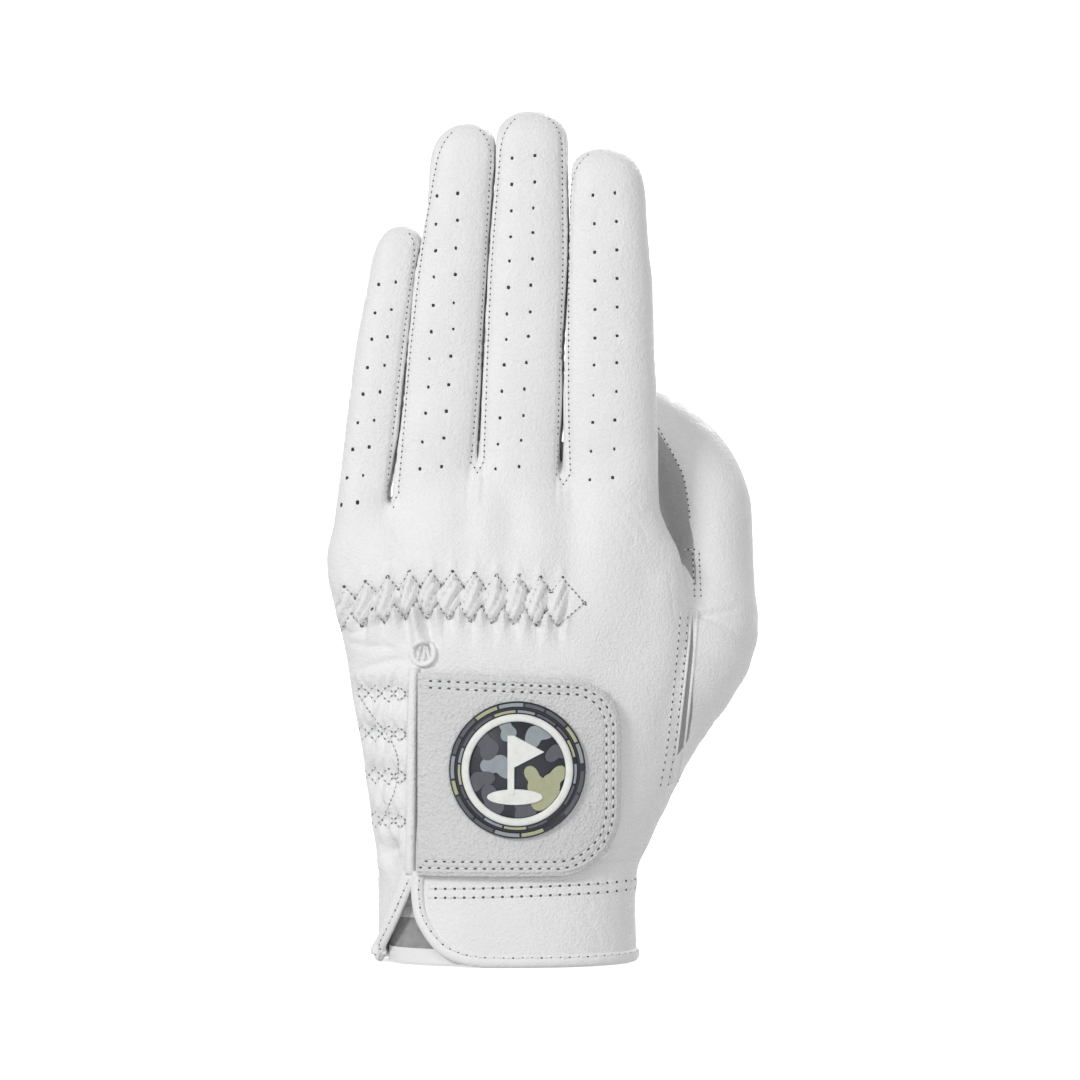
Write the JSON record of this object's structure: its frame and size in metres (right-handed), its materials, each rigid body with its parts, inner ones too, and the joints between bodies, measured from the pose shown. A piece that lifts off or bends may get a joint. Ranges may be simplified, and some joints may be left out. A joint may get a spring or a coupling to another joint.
{
  "type": "golf glove",
  "caption": "Left-hand golf glove in its worn shape: soft leather fingers and thumb, gathered wrist, and a hook-and-loop closure tab with a round moulded badge.",
  "frame": {"origin": "centre of the wrist opening, on the hem plane", "axes": "+X across the hand towards the thumb, +Y from the back of the hand to the palm, +Z from the hem to the fingertips"},
  "size_m": [0.1062, 0.0576, 0.2121],
  "materials": {
    "white_leather": "fine grain, matte",
    "gray_leather": "smooth, matte",
    "suede": "napped",
    "knit": "woven",
    "hook_and_loop": "pile",
    "thread": "twisted",
    "dark_rubber": "matte",
    "white_rubber": "satin"
  },
  "bodies": {
    "hand": {"back_leather": "white_leather", "palm_leather": "white_leather", "thumb_base_back": "white_leather", "cuff_band": "white_leather", "slit_binding_left": "white_leather", "slit_binding_right": "white_leather", "keyhole_loop": "white_leather", "hem_binding": "white_leather", "web_strip_little_ring": "white_leather", "web_strip_ring_middle": "white_leather", "web_strip_middle_index": "white_leather", "thumb_gusset": "gray_leather", "thumb_base_inner": "gray_leather", "thumb_crotch_patch": "gray_leather", "wrist_elastics": "knit", "knuckle_elastic": "knit", "palm_tape": "knit", "loop_pad": "hook_and_loop"},
    "tab": {"closure_tab": "gray_leather", "hook_pad": "hook_and_loop", "tab_thread_1": "thread", "tab_thread_2": "thread", "badge_base": "dark_rubber", "badge_ring": "white_rubber", "badge_pennant": "white_rubber"},
    "thumb_tip": {"thumb_tip_back": "white_leather", "thumb_tip_inner": "gray_leather"},
    "little_tip": {"little_tip_back": "white_leather", "little_tip_palm": "white_leather", "little_side_strips": "white_leather"},
    "ring_tip": {"ring_tip_back": "white_leather", "ring_tip_palm": "white_leather", "ring_side_strips": "white_leather"},
    "middle_tip": {"middle_tip_back": "white_leather", "middle_tip_palm": "white_leather", "middle_side_strips": "white_leather"},
    "index_tip": {"index_tip_back": "white_leather", "index_tip_palm": "white_leather", "index_side_strips": "white_leather"}
  },
  "joints": [
    {"name": "tab_peel", "type": "hinge", "parent": "hand", "child": "tab", "pos_m": [-0.0224, -0.0161, 0.04725], "axis": [0, 0, -1], "range_deg": [0, 140]},
    {"name": "little_bend", "type": "hinge", "parent": "hand", "child": "little_tip", "pos_m": [-0.03238, 0.00656, 0.14], "axis": [-0.9939, 0, 0.1104], "range_deg": [0, 80]},
    {"name": "ring_bend", "type": "hinge", "parent": "hand", "child": "ring_tip", "pos_m": [-0.01541, 0.00732, 0.15], "axis": [-0.9969, 0, 0.0786], "range_deg": [0, 80]},
    {"name": "middle_bend", "type": "hinge", "parent": "hand", "child": "middle_tip", "pos_m": [0.0042, 0.00759, 0.152], "axis": [-0.9992, 0, 0.04], "range_deg": [0, 80]},
    {"name": "index_bend", "type": "hinge", "parent": "hand", "child": "index_tip", "pos_m": [0.02579, 0.00768, 0.148], "axis": [-0.9998, 0, -0.0219], "range_deg": [0, 80]},
    {"name": "thumb_bend", "type": "hinge", "parent": "hand", "child": "thumb_tip", "pos_m": [0.0505, 0.0205, 0.113], "axis": [-0.1332, -0.9743, 0.1818], "range_deg": [-30, 30]}
  ]
}
